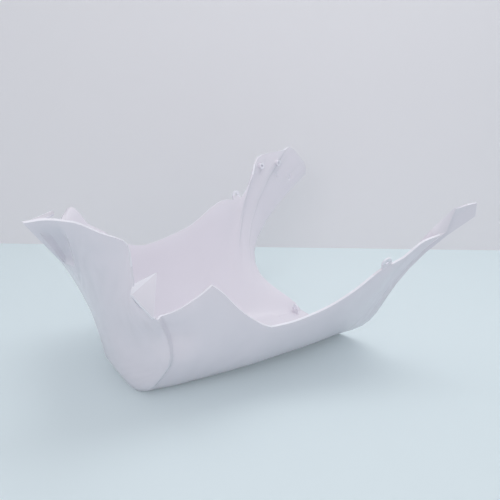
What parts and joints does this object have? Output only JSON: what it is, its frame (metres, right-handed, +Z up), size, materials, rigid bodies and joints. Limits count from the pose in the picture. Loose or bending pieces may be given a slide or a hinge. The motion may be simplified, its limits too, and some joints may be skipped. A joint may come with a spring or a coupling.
{
  "type": "motorcycle belly pan",
  "caption": "Glossy white moulded belly pan for a motorcycle: a thin open shell with a flat keel, a raised bow horn, scalloped edges and swept rear arms.",
  "frame": {"origin": "on the underside of the flat keel, on the keel's centre line, under the middle of the overall box", "axes": "+X from the bow to the rear, +Y from the near side to the far side, +Z up"},
  "size_m": [0.61, 0.431, 0.2808],
  "materials": {
    "shell_plastic": "gloss"
  },
  "bodies": {
    "root": {"belly_pan": "shell_plastic"}
  },
  "joints": []
}
